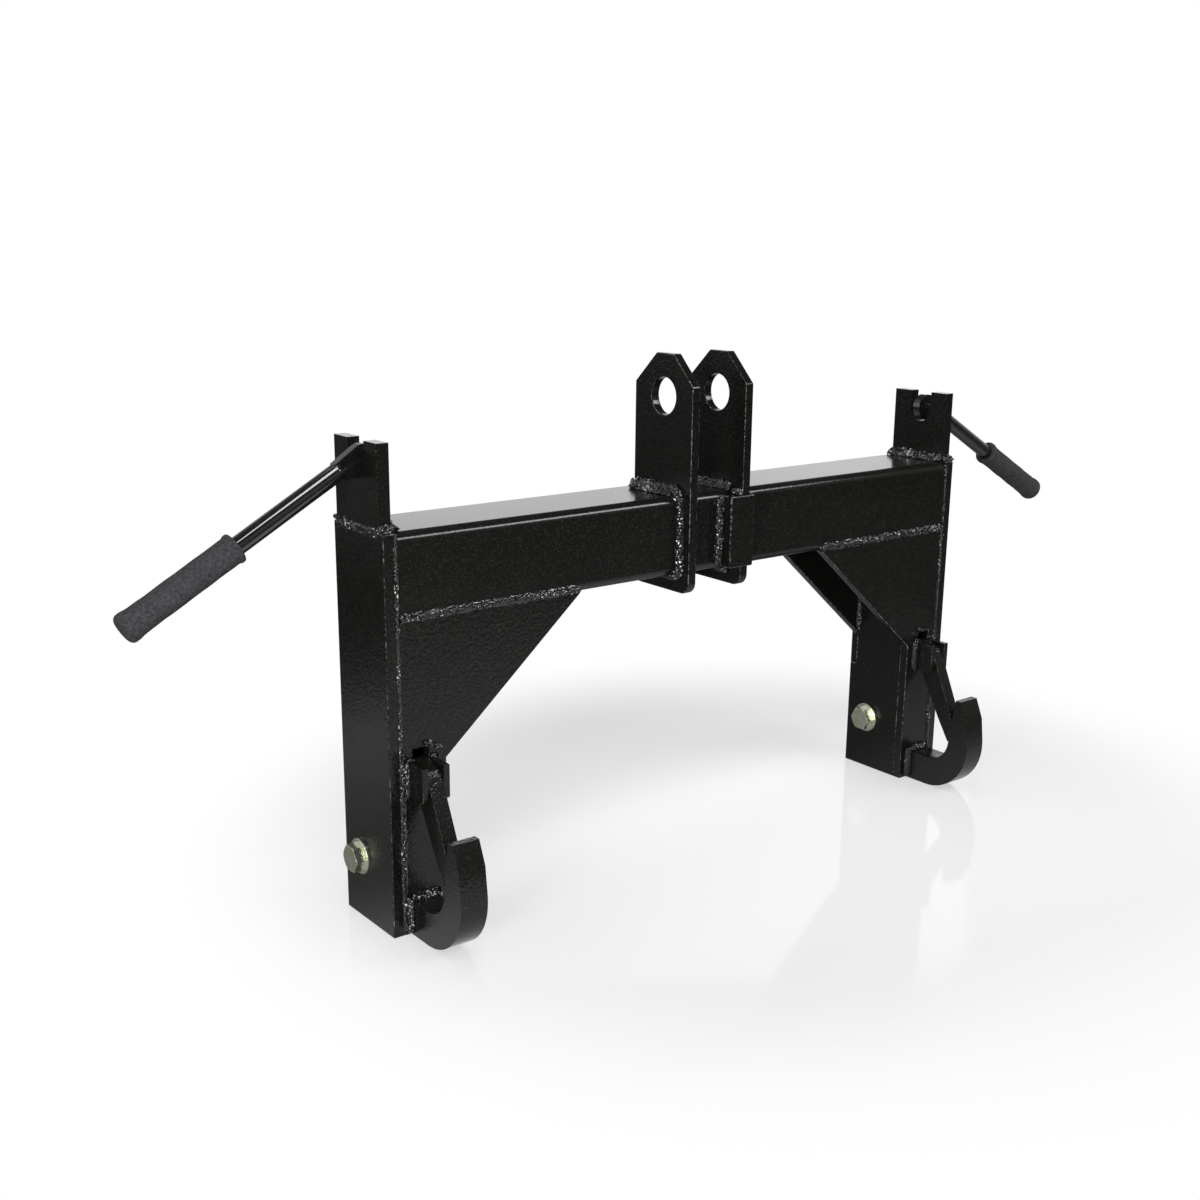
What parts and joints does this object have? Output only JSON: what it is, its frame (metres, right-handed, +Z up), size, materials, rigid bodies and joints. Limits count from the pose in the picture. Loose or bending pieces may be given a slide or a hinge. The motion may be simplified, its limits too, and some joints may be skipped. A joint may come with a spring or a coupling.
{
  "type": "three point quick hitch",
  "caption": "Tractor quick hitch: a box beam between two uprights with snap hooks below, a drilled clevis on top and hinged release levers with foam grips.",
  "frame": {"origin": "on the ground under the middle of the hitch's bounding box", "axes": "+X to the hitch's right as seen from the hook side, -Y out of the hook side towards the implement, +Z up"},
  "size_m": [1.1858, 0.1739, 0.515],
  "materials": {
    "black_paint": "satin powder coat with a fine orange peel",
    "zinc": "yellowish zinc plate",
    "rod_black": "gloss black paint",
    "foam": "matte foam",
    "spring_steel": "oiled spring wire"
  },
  "bodies": {
    "frame": {"cross_beam": "black_paint", "outer_plate_left": "black_paint", "outer_plate_right": "black_paint", "front_gusset_left": "black_paint", "front_gusset_right": "black_paint", "rear_gusset_left": "black_paint", "rear_gusset_right": "black_paint", "inner_plate_left": "black_paint", "inner_plate_right": "black_paint", "notch_plate_left": "black_paint", "notch_plate_right": "black_paint", "top_plate_left": "black_paint", "top_plate_right": "black_paint", "hook_pad": "black_paint", "lower_hook_left": "black_paint", "lower_hook_right": "black_paint", "latch_guides_left": "black_paint", "latch_guides_right": "black_paint", "latch_pin_left": "black_paint", "latch_pin_right": "black_paint", "spring_seat_left": "black_paint", "spring_seat_right": "black_paint", "lift_bolt_left": "zinc", "lift_bolt_right": "zinc", "lift_nut_left": "zinc", "lift_nut_right": "zinc", "lift_washers_left": "zinc", "lift_washers_right": "zinc", "lift_sleeve_left": "zinc", "lift_sleeve_right": "zinc", "lever_pin_left": "black_paint", "lever_pin_right": "black_paint", "latch_spring_left": "spring_steel", "latch_spring_right": "spring_steel"},
    "latch_left": {"latch_bar_left": "black_paint", "latch_arm_left": "black_paint"},
    "lever_left": {"lever_rod_left": "rod_black", "lever_grip_left": "foam"},
    "latch_right": {"latch_bar_right": "black_paint", "latch_arm_right": "black_paint"},
    "lever_right": {"lever_rod_right": "rod_black", "lever_grip_right": "foam"}
  },
  "joints": [
    {"name": "latch_swing_left", "type": "hinge", "parent": "frame", "child": "latch_left", "pos_m": [-0.3415, -0.01605, 0.152], "axis": [1, 0, 0], "range_deg": [0, 25], "stiffness_Nm_per_rad": 7.4, "springref_deg": -13.35, "deforming": ["latch_spring_left"]},
    {"name": "latch_swing_right", "type": "hinge", "parent": "frame", "child": "latch_right", "pos_m": [0.3415, -0.01605, 0.152], "axis": [1, 0, 0], "range_deg": [0, 25], "stiffness_Nm_per_rad": 7.4, "springref_deg": -13.35, "deforming": ["latch_spring_right"]},
    {"name": "lever_swing_left", "type": "hinge", "parent": "frame", "child": "lever_left", "pos_m": [-0.368, 0.04195, 0.436], "axis": [0, 1, 0], "range_deg": [0, 119]},
    {"name": "lever_swing_right", "type": "hinge", "parent": "frame", "child": "lever_right", "pos_m": [0.368, 0.04195, 0.436], "axis": [0, -1, 0], "range_deg": [0, 119]}
  ]
}
